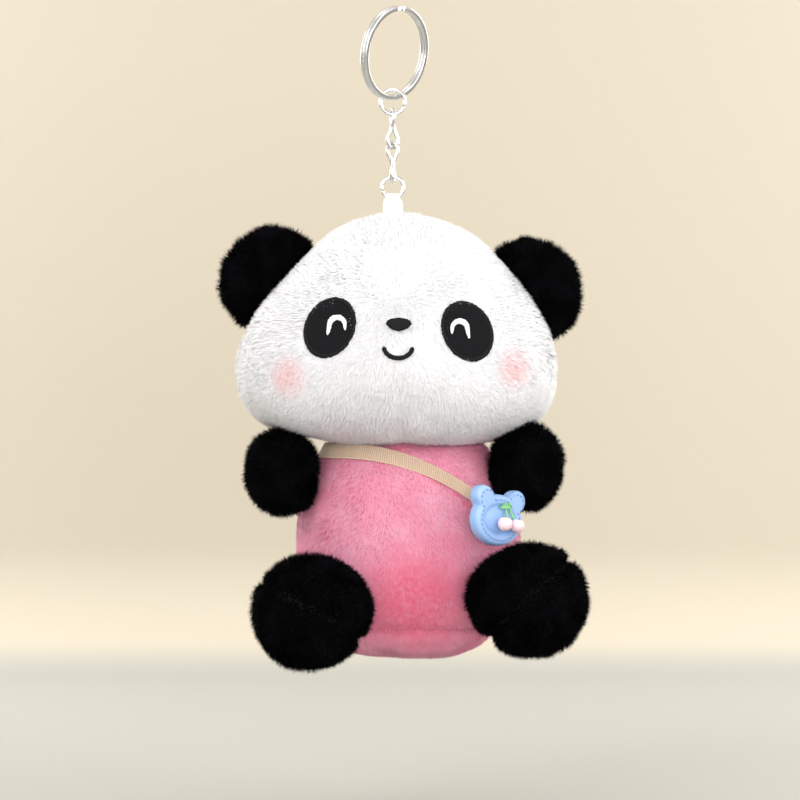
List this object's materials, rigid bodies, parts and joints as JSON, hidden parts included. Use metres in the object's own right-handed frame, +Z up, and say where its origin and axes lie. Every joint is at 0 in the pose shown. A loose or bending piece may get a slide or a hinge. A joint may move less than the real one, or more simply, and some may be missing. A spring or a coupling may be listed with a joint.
{
  "type": "plush panda key charm",
  "caption": "Soft sitting panda with an over-shoulder toy bag, hung by a ribbon loop and a short chain from a split key ring.",
  "frame": {"origin": "middle of the split ring's opening", "axes": "+Z up along the hanging chain, the panda faces -Y, +X is the panda's own left"},
  "size_m": [0.0968, 0.0833, 0.1747],
  "materials": {
    "metal": "bright nickel plate",
    "white_ribbon": "satin woven ribbon",
    "white_plush": "short soft pile",
    "black_plush": "long soft pile",
    "pink_plush": "short soft pile",
    "black_thread": "satin stitch",
    "white_thread": "satin stitch",
    "wadding": "loose fibre",
    "strap_ribbon": "ribbed ribbon",
    "bag_blue": "soft moulded, satin",
    "cherry_pink": "glossy bead",
    "leaf_green": "glossy"
  },
  "bodies": {
    "ring": {"split_ring": "metal"},
    "jump_ring_upper": {"upper_jump_ring": "metal"},
    "link_upper": {"upper_link": "metal"},
    "link_lower": {"lower_link": "metal"},
    "jump_ring_lower": {"lower_jump_ring": "metal"},
    "panda": {"hanging_loop": "white_ribbon", "face_panel": "white_plush", "head_back_left": "white_plush", "head_back_right": "white_plush", "head_stuffing": "wadding", "left_ear_front": "black_plush", "left_ear_back": "black_plush", "left_ear_stuffing": "wadding", "right_ear_front": "black_plush", "right_ear_back": "black_plush", "right_ear_stuffing": "wadding", "left_eye_patch": "black_thread", "right_eye_patch": "black_thread", "left_eye_arc": "white_thread", "right_eye_arc": "white_thread", "nose": "black_thread", "mouth": "black_thread", "body_front": "pink_plush", "body_back": "pink_plush", "base_panel": "pink_plush", "body_stuffing": "wadding", "bag_strap": "strap_ribbon", "bag_shell": "bag_blue", "bag_face": "bag_blue", "bag_cherries": "cherry_pink", "bag_stem": "leaf_green"},
    "left_arm": {"left_arm_outer": "black_plush", "left_arm_inner": "black_plush", "left_arm_stuffing": "wadding"},
    "right_arm": {"right_arm_outer": "black_plush", "right_arm_inner": "black_plush", "right_arm_stuffing": "wadding"},
    "left_leg": {"left_leg_upper": "black_plush", "left_leg_under": "black_plush", "left_leg_stuffing": "wadding"},
    "right_leg": {"right_leg_upper": "black_plush", "right_leg_under": "black_plush", "right_leg_stuffing": "wadding"}
  },
  "joints": [
    {"name": "upper_jump_ring_swing", "type": "hinge", "parent": "ring", "child": "jump_ring_upper", "pos_m": [-0.00057, 0.00311, -0.01163], "axis": [0.6674, 0.7269, 0.1616], "range_deg": [-40, 40]},
    {"name": "upper_link_swing", "type": "hinge", "parent": "jump_ring_upper", "child": "link_upper", "pos_m": [-0.00057, 0.00311, -0.01618], "axis": [1, 0, 0], "range_deg": [-45, 45]},
    {"name": "lower_link_swing", "type": "hinge", "parent": "link_upper", "child": "link_lower", "pos_m": [-0.00057, 0.00311, -0.02528], "axis": [-0.8192, -0.5736, 0], "range_deg": [-45, 45]},
    {"name": "lower_jump_ring_swing", "type": "hinge", "parent": "link_lower", "child": "jump_ring_lower", "pos_m": [-0.00057, 0.00311, -0.03438], "axis": [0, 1, 0], "range_deg": [-45, 45]},
    {"name": "panda_swing", "type": "hinge", "parent": "jump_ring_lower", "child": "panda", "pos_m": [-0.00057, 0.00311, -0.03898], "axis": [-1, 0, 0], "range_deg": [-35, 35]},
    {"name": "left_arm_swing", "type": "hinge", "parent": "panda", "child": "left_arm", "pos_m": [0.02681, -0.00218, -0.10852], "axis": [0.9272, -0.3746, 0], "range_deg": [-1, 35]},
    {"name": "right_arm_swing", "type": "hinge", "parent": "panda", "child": "right_arm", "pos_m": [-0.02175, -0.00242, -0.11002], "axis": [0.9272, 0.3746, 0], "range_deg": [-20, 35]},
    {"name": "left_leg_swing", "type": "hinge", "parent": "panda", "child": "left_leg", "pos_m": [0.02098, -0.01307, -0.14583], "axis": [-0.7501, -0.6613, 0], "range_deg": [-12, 4]},
    {"name": "right_leg_swing", "type": "hinge", "parent": "panda", "child": "right_leg", "pos_m": [-0.01041, -0.01479, -0.14843], "axis": [-0.8599, 0.5105, 0], "range_deg": [-12, 12]}
  ]
}
